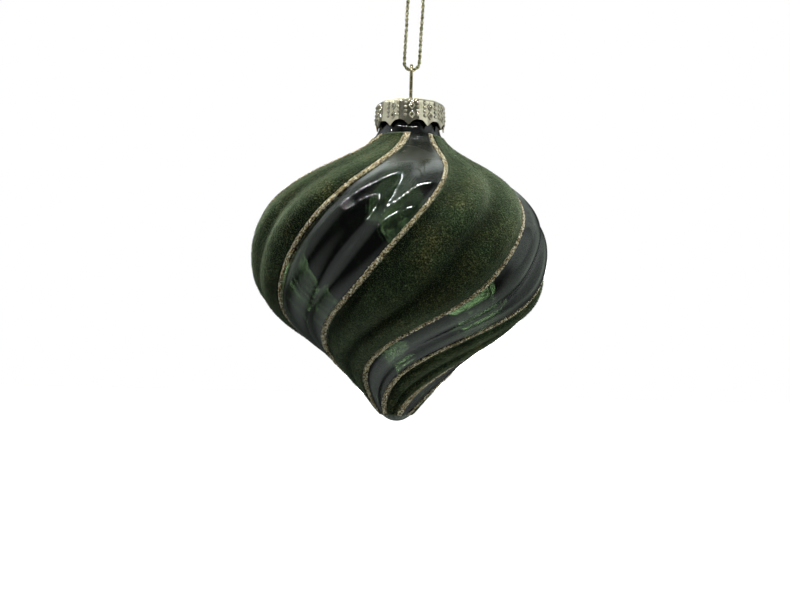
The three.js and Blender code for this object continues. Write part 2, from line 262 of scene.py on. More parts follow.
def colourRamp(tree, factor, stops):
    node = addNode(tree, "ShaderNodeValToRGB", {0: factor})
    band = node.color_ramp
    while len(band.elements) < len(stops):
        band.elements.new(1.0)
    for element, (position, colour) in zip(band.elements, stops):
        element.position = position
        element.color = (*colour, 1.0)
    return node.outputs[0]


def bump(tree, shader, height, distance):
    node = addNode(tree, "ShaderNodeBump", {"Height": height, "Distance": distance})
    tree.links.new(node.outputs[0], shader.inputs["Normal"])


# Clear glass lacquered dark green inside; the far bands show through it
glassFinish = {
    "neckFrom": -47.5, "neckTo": -44.5,  # the heights between which it turns nearly black
    "filmFrom": -61.0, "filmTo": -54.0, "filmRoughness": 0.36,  # the lacquer is cloudy below the neck
}


def paintGlass():
    g = glassFinish
    material, tree, shader, coords = newFinish("darkGlass", Transmission_Weight=1.0, IOR=1.5, Roughness=0.0)
    clouds = noiseTerm(tree, coords, 60.0, 3.0)
    height = partOf(tree, coords, "Z")
    belowNeck = 1.0 - height.smooth(g["neckFrom"] * mm, g["neckTo"] * mm)
    colour = colourRamp(tree, clouds * belowNeck, [
        (0.05, (0.03, 0.035, 0.035)), (0.3, (0.15, 0.2, 0.125)), (0.7, (0.235, 0.29, 0.2))])
    tree.links.new(colour, shader.inputs["Base Color"])
    film = height.smooth(g["filmFrom"] * mm, g["filmTo"] * mm) * belowNeck * g["filmRoughness"]
    connect(tree, shader.inputs["Roughness"], film * clouds.smooth(0.3, 0.6, 0.45, 1.0))
    bump(tree, shader, noiseTerm(tree, coords, 150.0, 1.0), 0.00003)
    return material


# Cut fibres on end: dark green with olive and brown patches and paler specks, with painted shade darkening
# the valleys between the ribs
flockMix = {"fibre": 0.45, "speck": 1.6, "blotch": 0.6, "hollow": 0.15, "base": 0.272}


def paintFlock():
    m = flockMix
    material, tree, shader, coords = newFinish(
        "greenFlock", Roughness=0.95, Sheen_Weight=0.8, Sheen_Roughness=0.4, Specular_IOR_Level=0.1,
        Sheen_Tint=(0.63, 0.78, 0.5, 1.0),
    )
    specks = noiseTerm(tree, coords, 2600.0, 1.0)
    blotches = noiseTerm(tree, coords, 130.0, 4.0)
    # painted shade: each fibre's own random tone, less a darkening in the rib valleys where the pile lies
    # in shade
    toneAndValleyShade = attributeTerm(tree, "shade") * m["fibre"] - attributeTerm(tree, "hollow") * m["hollow"]
    factor = toneAndValleyShade + (specks - 0.5) * m["speck"] + (blotches - 0.5) * m["blotch"] + m["base"]
    colour = colourRamp(tree, factor, [
        (0.22, (0.002, 0.005, 0.002)),
        (0.42, (0.013, 0.021, 0.0055)),
        (0.58, (0.038, 0.053, 0.016)),
        (0.70, (0.072, 0.090, 0.040)),
        (0.88, (0.17, 0.19, 0.12)),
    ])
    patches = noiseTerm(tree, coords, 150.0, 3.0)
    tint = colourRamp(tree, patches, [
        (0.36, (1.13, 0.95, 0.82)), (0.5, (1.0, 1.0, 1.0)), (0.62, (0.8, 0.97, 1.0))])
    tree.links.new(vectorMath(tree, "MULTIPLY", colour, tint), shader.inputs["Base Color"])
    bump(tree, shader, specks, 0.0002)
    return material


# Glitter grains: pale gold, some tan, some nearly black
grainMix = {"grain": 0.4, "speck": 3.0, "base": 0.32}


def paintGrains():
    m = grainMix
    material, tree, shader, coords = newFinish("champagneGrains", Metallic=0.25, Roughness=0.25)
    specks = noiseTerm(tree, coords, 2300.0, 1.0)
    factor = attributeTerm(tree, "shade") * m["grain"] + (specks - 0.5) * m["speck"] + m["base"]
    colour = colourRamp(tree, factor, [
        (0.34, (0.02, 0.015, 0.006)),
        (0.4, (0.42, 0.28, 0.07)),
        (0.52, (1.0, 0.81, 0.35)),
        (0.6, (1.0, 0.97, 0.76)),
    ])
    tree.links.new(colour, shader.inputs["Base Color"])
    return material


# The glue under the grains, tan with fine grit in it
def paintGlue():
    material, tree, shader, coords = newFinish("grainGlue", Roughness=0.4, Metallic=0.3)
    grit = noiseTerm(tree, coords, 2600.0, 2.0)
    colour = colourRamp(tree, grit, [
        (0.35, (0.02, 0.014, 0.006)), (0.52, (0.22, 0.16, 0.065)), (0.7, (0.6, 0.47, 0.23))])
    tree.links.new(colour, shader.inputs["Base Color"])
    bump(tree, shader, grit, 0.0002)
    return material


# Bright champagne sheet, faintly handled, with painted shade on the slopes round each raised figure
capFinish = {"slopeShade": 0.68, "figureRoughness": 0.3}


def paintCap():
    c = capFinish
    material, tree, shader, coords = newFinish("champagneSheet", Metallic=1.0)
    smears = noiseTerm(tree, coords, 420.0, 4.0)
    colour = colourRamp(tree, smears, [
        (0.3, (0.78, 0.71, 0.52)), (0.55, (0.93, 0.86, 0.66)), (0.8, (1.0, 0.94, 0.76))])
    relief = attributeTerm(tree, "relief")
    # painted shade: the base colour is darkened on the sloping sides of each raised figure
    slope = relief.smooth(0.04, 0.4) * (1.0 - relief.smooth(0.6, 0.92))
    tree.links.new(scaled(tree, colour, 1.0 - slope * c["slopeShade"]), shader.inputs["Base Color"])
    figures = relief.smooth(0.55, 0.9) * c["figureRoughness"]
    connect(tree, shader.inputs["Roughness"], smears.smooth(0.3, 0.75, 0.15, 0.27) + figures)
    bump(tree, shader, noiseTerm(tree, coords, 900.0, 3.0), 0.00003)
    return material


# Drawn brass
def paintWire():
    material, tree, shader, coords = newFinish("brassWire", Metallic=1.0)
    drawn = noiseTerm(tree, coords, 700.0, 3.0)
    colour = colourRamp(tree, drawn, [(0.3, (0.42, 0.35, 0.17)), (0.7, (0.78, 0.7, 0.45))])
    tree.links.new(colour, shader.inputs["Base Color"])
    connect(tree, shader.inputs["Roughness"], drawn.smooth(0.3, 0.7, 0.18, 0.34))
    return material


# Metallic film wound round a thread: olive gold with pale flashes
def paintCord():
    material, tree, shader, coords = newFinish("goldThread", Metallic=0.85, Roughness=0.3)
    film = noiseTerm(tree, coords, 2100.0, 2.0)
    colour = colourRamp(tree, film, [
        (0.34, (0.12, 0.11, 0.035)), (0.48, (0.5, 0.48, 0.24)), (0.62, (0.95, 0.93, 0.7))])
    tree.links.new(colour, shader.inputs["Base Color"])
    return material


finishes = {
    "glass": paintGlass(),
    "flock": paintFlock(),
    "grains": paintGrains(),
    "glue": paintGlue(),
    "cap": paintCap(),
    "wire": paintWire(),
    "cord": paintCord(),
}
print("finishes mixed:", len(finishes))


# A smooth line through points, as a wire or a thread takes
def smoothLine(points, perSpan):
    p = [np.array(q, float) for q in points]
    p = [2 * p[0] - p[1], *p, 2 * p[-1] - p[-2]]
    line = []
    for a, b, c, d in zip(p, p[1:], p[2:], p[3:]):
        t = [0.0]
        for low, high in ((a, b), (b, c), (c, d)):
            t.append(t[-1] + math.sqrt(np.linalg.norm(high - low)))
        for k in range(perSpan):
            s = t[1] + (t[2] - t[1]) * k / perSpan
            near = [q0 + (q1 - q0) * (s - t0) / (t1 - t0)
                    for q0, q1, t0, t1 in ((a, b, t[0], t[1]), (b, c, t[1], t[2]), (c, d, t[2], t[3]))]
            wide = [near[0] + (near[1] - near[0]) * (s - t[0]) / (t[2] - t[0]),
                    near[1] + (near[2] - near[1]) * (s - t[1]) / (t[3] - t[1])]
            line.append(wide[0] + (wide[1] - wide[0]) * (s - t[1]) / (t[2] - t[1]))
    return [*line, p[-2]]


def lineObject(name, lines):
    curve = bpy.data.curves.new(name, "CURVE")
    curve.dimensions = "3D"
    for line in lines:
        spline = curve.splines.new("POLY")
        spline.points.add(len(line) - 1)
        for point, place in zip(spline.points, line):
            point.co = (*(Vector(place) * mm), 1.0)
    return addObject(name, curve)


# Cord: two plies of filmed thread laid up together, in the eye of the wire
cordShape = {  # millimetres
    "drop": 27.0, "spacing": 4.1, "lean": 1.0, "diameter": 1.0,
    "meet": 1.1, "strandDrop": 8.0,  # the strands' spacing at the knot, and how far down they part
}
cordTwist = {  # what the twisting needs, lengths in metres
    "plies": 2, "ply radius": 0.27 * mm, "ply offset": 0.21 * mm,
    "lay": 3.1 * mm,  # one whole turn of the two plies
    "filaments": 6, "filament depth": 0.16, "filament lay": 1.5 * mm, "step": 0.12 * mm,
}
knotShape = {  # millimetres, degrees and turns
    "base": 0.3, "height": 3.8, "coreSpacing": 0.62, "crossOut": 0.25, "crossAt": (1.2, 2.2),
    "tailLength": 5.5, "tailSplay": 28, "tailRoot": 1.14, "tailBow": 0.35, "tailSway": 0.1,
    "wrapTurns": 2.35, "wrapRadius": 1.22, "wrapStart": 0.45, "wrapFrom": 0.95, "wrapTo": 3.35,
    "wrapWaver": 0.28, "wrapSteps": 40, "tuck": 7,  # the wrap's ends tuck in over a seventh of it
}


def cordRoute():
    half = cordShape["spacing"] / 2
    bend = half - cordShape["drop"]

    def at(x, z):
        return (x - cordShape["lean"] * z / -cordShape["drop"], 0.0, z)

    def strand(side):
        points = []
        for share in (0, 0.25, 0.65, 1):
            eased = share * share * (3 - 2 * share)
            x = cordShape["meet"] / 2 * (1 - eased) + half * eased
            points.append(at(side * x, -cordShape["strandDrop"] * share))
        points.append(at(side * half, (bend - cordShape["strandDrop"]) / 2))
        points.append(at(side * half, bend + cordShape["diameter"]))
        return points

    bight = [at(half * math.sin(math.radians(a)), bend - half * math.cos(math.radians(a)))
             for a in range(-75, 76, 25)]
    return [*strand(-1), *bight, *reversed(strand(1))]


def knotLines():
    k = knotShape
    core = k["coreSpacing"] / 2
    meet = cordShape["meet"] / 2
    splay = math.radians(k["tailSplay"])
    top = k["base"] + k["height"]
    lines = []
    for side in (-1, 1):  # the strands cross inside the knot and leave it as the tails
        reach = k["tailLength"] + k["tailRoot"]
        root = (-side * core, 0.0, top - k["tailRoot"])
        bow, sway = side * k["tailBow"], side * k["tailSway"]
        tip = [root[0] - side * reach * math.sin(splay), bow, root[2] + reach * math.cos(splay)]
        middle = [(a + b) / 2 + bend for a, b, bend in zip(root, tip, (bow, sway, 0.0))]
        low, high = k["crossAt"]
        crossing = [(side * core, side * k["crossOut"], low), (0, side * core, high)]
        lines.append(smoothLine([(side * meet, 0, 0), *crossing, root, middle, tip], 10))
    wrap = []
    for i in range(k["wrapSteps"] + 1):  # the turn that the strands take round themselves
        t = i / k["wrapSteps"]
        angle = 2 * math.pi * k["wrapTurns"] * t
        tuck = min(1.0, t * k["tuck"], (1 - t) * k["tuck"])
        radius = k["wrapStart"] + (k["wrapRadius"] - k["wrapStart"]) * math.sin(tuck * math.pi / 2)
        z = k["wrapFrom"] + (k["wrapTo"] - k["wrapFrom"]) * t + k["wrapWaver"] * math.sin(angle)
        wrap.append((radius * math.sin(angle), -radius * math.cos(angle), z))
    lines.append(smoothLine(wrap, 4))
    return lines


def cordTree():
    tree, given = newTree("twistedCord", {
        "guide": "NodeSocketObject", **cordTwist, "finish": "NodeSocketMaterial"})
    inputs = {"Curve": shapeOf(tree, given("guide")), "Length": given("step")}
    line = addNode(tree, "GeometryNodeResampleCurve", inputs, mode="LENGTH")
    copies = addNode(tree, "GeometryNodeDuplicateElements",
                     {"Geometry": line.outputs[0], "Amount": given("plies")}, domain="SPLINE")
    ply = Term(tree, copies.outputs["Duplicate Index"])
    length = Term(tree, addNode(tree, "GeometryNodeSplineParameter").outputs["Length"])
    angle = (length / given("lay") + ply / given("plies")) * (2 * math.pi)
    normal = addNode(tree, "GeometryNodeInputNormal").outputs[0]
    tangent = addNode(tree, "GeometryNodeInputTangent").outputs[0]
    side = vectorMath(tree, "CROSS_PRODUCT", tangent, normal)
    offset = vectorMath(tree, "ADD",
                        scaled(tree, normal, angle.calc("COSINE") * given("ply offset")),
                        scaled(tree, side, angle.calc("SINE") * given("ply offset")))
    laid = addNode(tree, "GeometryNodeSetPosition",
                   {"Geometry": copies.outputs["Geometry"], "Offset": offset}).outputs[0]
    tilted = addNode(tree, "GeometryNodeSetCurveTilt",
                     {"Curve": laid, "Tilt": length / given("filament lay") * (-2 * math.pi)}).outputs[0]
    corners = given("filaments") * 4  # four round each filament
    ring = addNode(tree, "GeometryNodeCurvePrimitiveCircle",
                   {"Resolution": corners, "Radius": given("ply radius")}).outputs[0]
    around = Term(tree, addNode(tree, "GeometryNodeSplineParameter").outputs["Factor"])
    lobes = (around * given("filaments") * (2 * math.pi)).calc("COSINE") * given("filament depth")
    shaped = addNode(tree, "GeometryNodeSetPosition", {
        "Geometry": ring,
        "Position": scaled(tree, addNode(tree, "GeometryNodeInputPosition").outputs[0], lobes + 0.9),
    }).outputs[0]
    thread = addNode(tree, "GeometryNodeCurveToMesh",
                     {"Curve": tilted, "Profile Curve": shaped, "Fill Caps": True}).outputs[0]
    solid = realized(tree, smoothed(tree, thread))
    endTree(tree, Geometry=painted(tree, solid, given("finish")))
    return tree


def makeCord():
    tree = cordTree()
    loopLine = smoothLine(cordRoute(), 10)
    pieces = []
    for name, lines in (("cordTwist", [loopLine]), ("cordKnotTwist", knotLines())):
        guide = lineObject(name + "Line", lines)
        pieces.append(grow(name, tree, {"guide": guide, "finish": finishes["cord"]}))
        bpy.data.objects.remove(guide)
    loop, knot = pieces
    settle(loop, "cord", "gold_cord", "cord_loop")
    settle(knot, "cord", "gold_cord", "cord_knot")
    path = [[c * mm for c in point] for point in loopLine]


makeCord()


# Glass: the outline, and the rule by which the ribs wind round it
glassOutline = {  # millimetres: radius and height of each point, then of its two handles
    "tip": ((0, -122.5), (0, -122.5), (4.4, -122.5)),
    "taper": ((11, -112.7), (5.953, -117.6), (28.922, -95.3)),
    "belly": ((39.6, -77.2), (39.6, -95.1), (39.6, -54.8)),
    "neckBase": ((8.1, -42.3), (8.1, -54.3), (8.1, -40.55)),
    "rim": ((8.1, -37.05), (8.1, -38.8), (8.1, -37.05)),
}
spiralForm = {  # lengths in metres, turns in degrees
    "ribs": 16.0,
    "rib depth": 1.8 * mm,
    "rib thinning": 0.8,  # the power of the radius with which the ribs grow shallow
    "valley power": 1.5,
    "belly radius": 39.6 * mm,
    "belly height": -77.2 * mm,
    "fade from": -59.8 * mm,
    "fade to": -46.0 * mm,
    "twist": 1.28 / mm,  # degrees per metre
    "tip twist": 4.05 / mm,
    "ease from": 5.7 * mm,
    "ease over": 22 * mm,
    "start": -42.0,
    "axis x": -2.95 * mm,
    "neck offset": 1.95 * mm,
    "bend from": -66.0 * mm,
    "bend to": -38.0 * mm,
}
glassSettings = {  # lengths in metres
    "columns": 256, "rows": 320, "wall": 0.8 * mm,
    "neck wall": 1.1 * mm, "neck from": -45.9 * mm, "neck to": -42.3 * mm,
}
weld = {"glass": 0.01 * mm, "band": 0.002 * mm}  # points as near as this become one


def makeOutline():
    curve = bpy.data.curves.new("glassOutline", "CURVE")
    curve.dimensions = "3D"
    curve.resolution_u = 96
    spline = curve.splines.new("BEZIER")
    spline.bezier_points.add(len(glassOutline) - 1)
    for point, (place, left, right) in zip(spline.bezier_points, glassOutline.values()):
        point.handle_left_type = point.handle_right_type = "FREE"
        for label, (r, z) in (("co", place), ("handle_left", left), ("handle_right", right)):
            setattr(point, label, (r * mm, 0, z * mm))
    return addObject("glassOutline", curve)


# Share of the outline's length at which it reaches a height, in millimetres
def alongAt(height):
    points = []
    corners = list(glassOutline.values())
    spans = 200
    for (p0, _, h0), (p1, h1, _) in zip(corners, corners[1:]):
        for k in range(spans):
            t = k / spans
            w = ((1 - t) ** 3, 3 * (1 - t) ** 2 * t, 3 * (1 - t) * t * t, t ** 3)
            points.append([sum(a * b for a, b in zip(w, axis)) for axis in zip(p0, h0, h1, p1)])
    points.append(glassOutline["rim"][0])
    steps = np.linalg.norm(np.diff(np.array(points), axis=0), axis=1)
    lengths = np.concatenate([[0], np.cumsum(steps)]) / steps.sum()
    return float(np.interp(height, [p[1] for p in points], lengths))


# 1 in the valley between two ribs, 0 on a crest
def hollowness(ribs, around):
    return ((ribs * around).calc("RADIANS").calc("COSINE") + 1.0) / 2.0


def surfaceTree():
    tree, given = newTree(
        "spiralSurface", {"outline": "NodeSocketGeometry", "along": 0.0, "around": 0.0, **spiralForm})
    sample = addNode(tree, "GeometryNodeSampleCurve",
                     {"Curves": given("outline"), "Factor": given("along")}, mode="FACTOR")
    r, z = (partOf(tree, sample.outputs["Position"], axis) for axis in "XZ")
    quickening = given("belly height") - given("ease from")  # the height below which the twist quickens
    below = ((quickening - z) / given("ease over")).calc("MAXIMUM", 0.0)
    early = below.calc("MINIMUM", 1.0)
    eased = early ** 3.0 - early ** 4.0 / 2.0 + (below - 1.0).calc("MAXIMUM", 0.0)
    turn = given("twist") * (z - given("belly height")) - (
        (given("tip twist") - given("twist")) * given("ease over") * eased)
    wave = hollowness(given("ribs"), given("around"))
    fade = z.smooth(given("fade from"), given("fade to"), 1.0, 0.0)
    depth = given("rib depth") * (r / given("belly radius")) ** given("rib thinning") * fade
    radius = (r - depth * wave ** given("valley power")).calc("MAXIMUM", 0.0)
    angle = (given("start") + turn + given("around")).calc("RADIANS")
    axis = given("axis x") + given("neck offset") * z.smooth(given("bend from"), given("bend to"))
    place = vectorOf(
        tree, X=axis + radius * angle.calc("SINE"), Y=radius * angle.calc("COSINE") * -1.0, Z=z)
    endTree(tree, Position=place, Radius=r, Height=z)
    return tree


# The same surface with a lift off it, along its own slope
def placeTree(surface):
    tree, given = newTree("spiralPlace", {
        "outline": "NodeSocketGeometry", "along": 0.0, "around": 0.0, "lift": 0.0})
    within = given("along").calc("MAXIMUM", 0.004).calc("MINIMUM", 0.9985)  # clear of both ends
    step, turnStep = 0.001, 0.8  # a share of the outline, and degrees

    def at(along, aroundStep=0.0):
        inputs = {"outline": given("outline"), "along": along, "around": given("around") + aroundStep}
        return addNode(tree, "GeometryNodeGroup", inputs, node_tree=surface)

    up = vectorMath(tree, "SUBTRACT", at(within + step).outputs[0], at(within - step).outputs[0])
    side = vectorMath(tree, "SUBTRACT", at(within, turnStep).outputs[0], at(within, -turnStep).outputs[0])
    slope = vectorMath(tree, "NORMALIZE", vectorMath(tree, "CROSS_PRODUCT", side, up))
    offTip = given("along").smooth(0.0, 0.02)  # at the tip itself the lift is straight down
    down = vectorOf(tree, Z=(1.0 - offTip) * -1.0)
    normal = vectorMath(tree, "NORMALIZE", vectorMath(tree, "ADD", scaled(tree, slope, offTip), down))
    here = at(given("along"))
    place = vectorMath(tree, "ADD", here.outputs[0], scaled(tree, normal, given("lift")))
    endTree(tree, Position=place, Radius=here.outputs["Radius"], Height=here.outputs["Height"])
    return tree


# A patch of the surface: a grid of the given columns and rows, put in place by the rule
def gridParts(tree, given):
    grid = addNode(tree, "GeometryNodeMeshGrid", {
        "Size X": 1.0, "Size Y": 1.0, "Vertices X": given("columns") + 1, "Vertices Y": given("rows") + 1})
    return grid.outputs["Mesh"], *(partOf(tree, grid.outputs["UV Map"], axis) for axis in "XY")


def placed(tree, rule, outline, along, around, lift):
    inputs = {"outline": outline, "along": along, "around": around, "lift": lift}
    return addNode(tree, "GeometryNodeGroup", inputs, node_tree=rule)


def moved(tree, mesh, place):
    return addNode(tree, "GeometryNodeSetPosition", {"Geometry": mesh, "Position": place}).outputs[0]


def welded(tree, geometry, distance):
    inputs = {"Geometry": geometry, "Distance": distance}
    return smoothed(tree, addNode(tree, "GeometryNodeMergeByDistance", inputs).outputs[0])


def glassTree(rule):
    tree, given = newTree("ribbedGlass", {
        "outline": "NodeSocketObject", **glassSettings, "finish": "NodeSocketMaterial"})
    outline = shapeOf(tree, given("outline"))
    mesh, u, v = gridParts(tree, given)
    along = 1.0 - (v * 2.0 - 1.0).calc("ABSOLUTE")  # up the outside, over the rim and down the inside
    around = u * 360.0
    height = Term(tree, placed(tree, rule, outline, along, around, 0.0).outputs["Height"])
    wall = height.smooth(given("neck from"), given("neck to"), given("wall"), given("neck wall"))
    inside = v.calc("GREATER_THAN", 0.5001)  # just past the rim
    spot = placed(tree, rule, outline, along, around, wall * inside * -1.0)
    solid = welded(tree, moved(tree, mesh, spot.outputs[0]), weld["glass"])
    endTree(tree, Geometry=painted(tree, realized(tree, solid), given("finish")))
    return tree


outlineGuide = makeOutline()
spiralRule = placeTree(surfaceTree())


def makeGlass():
    values = {"outline": outlineGuide, "finish": finishes["glass"]}
    glass = grow("ribbedGlass", glassTree(spiralRule), values)
    settle(glass, "glass", "dark_glass", "glass_body")


makeGlass()


# Flock: a soft low pad that fills a band, with short fibres standing on it
flockSettings = {  # lengths in metres
    "columns": 110, "rows": 200, "bed": 0.03 * mm, "thickness": 0.34 * mm, "rounding": 0.5 * mm,
    "roughening": 0.11 * mm, "pad shade": 0.35,
    "fibres": 9e6,  # on a square metre
    "fibre length": 0.3 * mm, "fibre width": 0.06 * mm, "tilt": 0.55,
}
# Glitter: a lumpy line of glue with six-sided flakes stuck on it
lineSettings = {  # lengths in metres
    "columns": 10, "rows": 300, "bed": 0.03 * mm, "height": 0.4 * mm, "rounding": 0.8 * mm,
    "wobble": 0.22, "wobbles": 60.0, "lumpiness": 0.5,  # each edge sways in and out along the line
    "grains": 12e6,  # on a square metre
    "grain size": 0.23 * mm, "grain thickness": 0.06 * mm, "tilt": 0.9,
}
bandLayout = {  # millimetres and degrees
    "sectors": 4, "glossWidth": 40.5, "lineWidths": (1.8, 1.3), "sideGap": 0.12,
    "tip": -120.8, "top": -45.9,
    "length": 100.0,  # about a band's, for the rounding of its ends
    "flockSeed": 11, "lineSeed": 31,
}


# Rises from 0 at both ends of a length to 1 further in, round as a quarter circle
def roundedEdge(share, length, rounding):
    distance = share.calc("MINIMUM", 1.0 - share) * length
    inward = (1.0 - (distance / rounding).calc("MINIMUM", 1.0)) ** 2.0
    return (1.0 - inward).calc("SQRT")


# Copies of a shape all over a surface, each leaning and turned by chance, with a shade of its own
def scattered(tree, surface, shape, density, tilt, seed):
    inputs = {"Mesh": surface, "Density": density, "Seed": seed}
    spread = addNode(tree, "GeometryNodeDistributePointsOnFaces", inputs)
    lean = randomValue(tree, (-1.0, -1.0, -1.0), (1.0, 1.0, 1.0), seed + 1, "FLOAT_VECTOR")
    pointing = vectorMath(tree, "ADD", spread.outputs["Normal"], scaled(tree, lean, tilt))
    turned = addNode(tree, "FunctionNodeAlignRotationToVector", {"Vector": pointing}, axis="Z").outputs[0]
    turns = vectorOf(tree, Z=randomValue(tree, 0.0, 2 * math.pi, seed + 2))
    spin = addNode(tree, "FunctionNodeEulerToRotation", {0: turns}).outputs[0]
    inputs = {"Rotation": turned, "Rotate By": spin}
    spun = addNode(tree, "FunctionNodeRotateRotation", inputs, rotation_space="LOCAL").outputs[0]
    size = randomValue(tree, 0.6, 1.0, seed + 3)
    inputs = {"Points": spread.outputs["Points"], "Instance": shape, "Rotation": spun, "Scale": size}
    grains = addNode(tree, "GeometryNodeInstanceOnPoints", inputs).outputs[0]
    shade = randomValue(tree, 0.0, 1.0, seed + 4)
    return realized(tree, stored(tree, grains, "shade", shade, "INSTANCE"))


# What flock and glitter share: a patch between two heights, and the rule for a point of it
def bandPatch(tree, given, rule):
    outline = shapeOf(tree, given("outline"))
    mesh, u, v = gridParts(tree, given)
    along = v.mixed(given("tip end"), given("neck end"))

    def at(around, lift):
        return placed(tree, rule, outline, along, around, lift)

    return mesh, u, v, Term(tree, at(0.0, 0.0).outputs["Radius"]), at


# A mesh at its top and, turned over, on its bed, joined along the edges
def closedPad(tree, mesh, top, bed):
    upper = moved(tree, mesh, top)
    under = addNode(tree, "GeometryNodeFlipFaces", {0: moved(tree, mesh, bed)}).outputs[0]
    return upper, welded(tree, joined(tree, upper, under), weld["band"])


def flockTree(rule):
    tree, given = newTree("flockedBand", {
        "outline": "NodeSocketObject", "tip end": 0.0, "neck end": 1.0, "from": 0.0, "to": 90.0,
        "margin": 0.0, **flockSettings, "ribs": spiralForm["ribs"], "seed": 1,
        "finish": "NodeSocketMaterial",
    })
    mesh, u, v, radius, at = bandPatch(tree, given, rule)
    margin = (given("margin") / radius).calc("DEGREES")
    around = u.mixed(given("from") + margin, given("to") - margin)
    width = (given("to") - given("from") - margin * 2.0).calc("RADIANS") * radius
    sides = roundedEdge(u, width, given("rounding"))
    ends = roundedEdge(v, bandLayout["length"] * mm, given("rounding"))
    bed = at(around, given("bed")).outputs[0]
    clumps = noiseTerm(tree, bed, 1500.0, 3.0) - 0.5
    drifts = noiseTerm(tree, bed, 260.0, 2.0) - 0.5
    height = given("thickness") + (clumps + drifts) * given("roughening") * 2.0
    top = at(around, given("bed") + height * (sides * ends)).outputs[0]
    # painted shade: how deep each point lies in a rib valley, stored so the flock's colour darkens there
    mesh = stored(tree, mesh, "hollow", hollowness(given("ribs"), around))
    pile, pad = closedPad(tree, mesh, top, bed)
    pad = stored(tree, pad, "shade", given("pad shade"))
    spike = addNode(tree, "GeometryNodeMeshCone", {
        "Vertices": 3, "Radius Top": 0.0, "Radius Bottom": given("fibre width"),
        "Depth": given("fibre length")}, fill_type="NGON").outputs["Mesh"]
    fibres = scattered(tree, pile, smoothed(tree, spike), given("fibres"), given("tilt"), given("seed"))
    endTree(tree, Geometry=painted(tree, joined(tree, pad, fibres), given("finish")))
    return tree


def lineTree(rule):
    tree, given = newTree("glitterLine", {
        "outline": "NodeSocketObject", "tip end": 0.0, "neck end": 1.0, "middle": 0.0, "width": 0.0,
        **lineSettings, "seed": 1, "glue": "NodeSocketMaterial", "finish": "NodeSocketMaterial",
    })
    mesh, u, v, radius, at = bandPatch(tree, given, rule)
    farSide = u.calc("GREATER_THAN", 0.5)
    course = vectorOf(tree, X=v * given("wobbles"), Y=farSide * 7.0, Z=given("seed") * 3.0)  # all unlike
    sway = (noiseTerm(tree, course, 1.0, 3.0) - 0.5) * 2.0 * given("wobble") + 1.0
    half = (given("width") / 2.0 / radius).calc("DEGREES")
    across = u * 2.0 - 1.0
    around = given("middle") + across * half * sway
    ends = roundedEdge(v, bandLayout["length"] * mm, given("rounding"))
    dome = (1.0 - across * across).calc("MAXIMUM", 0.0).calc("SQRT") * ends
    bed = at(around, given("bed")).outputs[0]
    lumps = (noiseTerm(tree, bed, 900.0, 2.0) - 0.5) * given("lumpiness") + 1.0
    top = at(around, given("bed") + given("height") * dome * lumps).outputs[0]
    bead, pad = closedPad(tree, mesh, top, bed)
    flake = addNode(tree, "GeometryNodeMeshCylinder", {
        "Vertices": 6, "Radius": given("grain size"), "Depth": given("grain thickness")},
        fill_type="NGON").outputs["Mesh"]
    grains = scattered(tree, bead, flake, given("grains"), given("tilt"), given("seed"))
    glued = painted(tree, pad, given("glue"))
    endTree(tree, Geometry=joined(tree, glued, painted(tree, grains, given("finish"))))
    return tree


def makeBands():
    b = bandLayout
    ends = {"outline": outlineGuide, "tip end": alongAt(b["tip"]), "neck end": alongAt(b["top"])}
    margin = (sum(b["lineWidths"]) / 4 + b["sideGap"]) * mm  # half a mean line and the gap
    band, line = flockTree(spiralRule), lineTree(spiralRule)
    sector = 360 / b["sectors"]
    for k in range(b["sectors"]):
        start = k * sector
        flock = grow(f"flock{k + 1}", band, {
            **ends, "from": start + b["glossWidth"], "to": start + sector, "margin": margin,
            "seed": b["flockSeed"] + k, "finish": finishes["flock"]})
        settle(flock, "glass", "green_flock", f"flock_band_{k + 1}")
        for side, width in enumerate(b["lineWidths"]):
            number = 2 * k + side + 1
            glitter = grow(f"glitter{number}", line, {
                **ends, "middle": start + side * b["glossWidth"], "width": width * mm,
                "seed": b["lineSeed"] + number, "glue": finishes["glue"], "finish": finishes["grains"]})
            settle(glitter, "glass", "gold_glitter", f"glitter_line_{number}")


makeBands()
bpy.data.objects.remove(outlineGuide)


# Crown cap: stamped sheet with flat panels, embossed diamonds and dots, and a tab on each panel
capShape = {  # millimetres and degrees
    "panels": 11, "top": -36.4, "edgeRadius": 9.65, "shoulderRadius": 9.3, "topRadius": 7.7,
    "shoulder": 1.25, "skirt": 6.05, "sheet": 0.3, "hole": 1.7, "axis": -1.0, "turn": -3.0,
    "tab": 1.5, "tabRoot": 0.62, "tabPower": 1.25, "tabTip": 0.03, "scallop": 0.5,
    "topFlat": 0.4,  # how much of the panels' flatness reaches the top
    "stampFade": 12, "stampInside": 0.6,  # the figures end above the edge, and are lower inside
    "topRings": 7, "bendStep": 15, "skirtRows": 56, "columnsPerPanel": 48, "sharpFrom": 40,
}
capEmboss = {  # millimetres; the two turns in degrees
    "turn": 5.0, "columnTurn": 10.2,  # from a panel's middle, and from the diamonds to the dots
    "diamonds": (2.35, 4.75), "diamondWidth": 0.93, "diamondHeight": 1.1,
    "ridge": 0.26, "ridgeAt": 0.78, "bead": 0.3, "beadHeight": 0.55,  # shares of a diamond
    "dots": (1.5, 2.6, 3.7, 4.8), "dotRadius": 0.46, "raised": 0.26,
}


def embossHeight(offset, drop, radius):
    e = capEmboss
    x = (offset - math.radians(e["turn"])) * radius
    height = np.zeros_like(x)
    for middle in e["diamonds"]:
        ring = np.abs(x) / e["diamondWidth"] + np.abs(drop - middle) / e["diamondHeight"]
        height = np.maximum(height, 1 - np.abs(ring - e["ridgeAt"]) / e["ridge"])
        height = np.maximum(height, e["beadHeight"] * (1 - ring / e["bead"]))
    for side in (-1, 1):
        across = x - side * math.radians(e["columnTurn"]) * radius
        for middle in e["dots"]:
            away = np.hypot(across, drop - middle) / e["dotRadius"]
            height = np.maximum(height, 1 - away ** 2)
    height = np.clip(height, 0, 1)
    return height * (2 - height) * e["raised"]


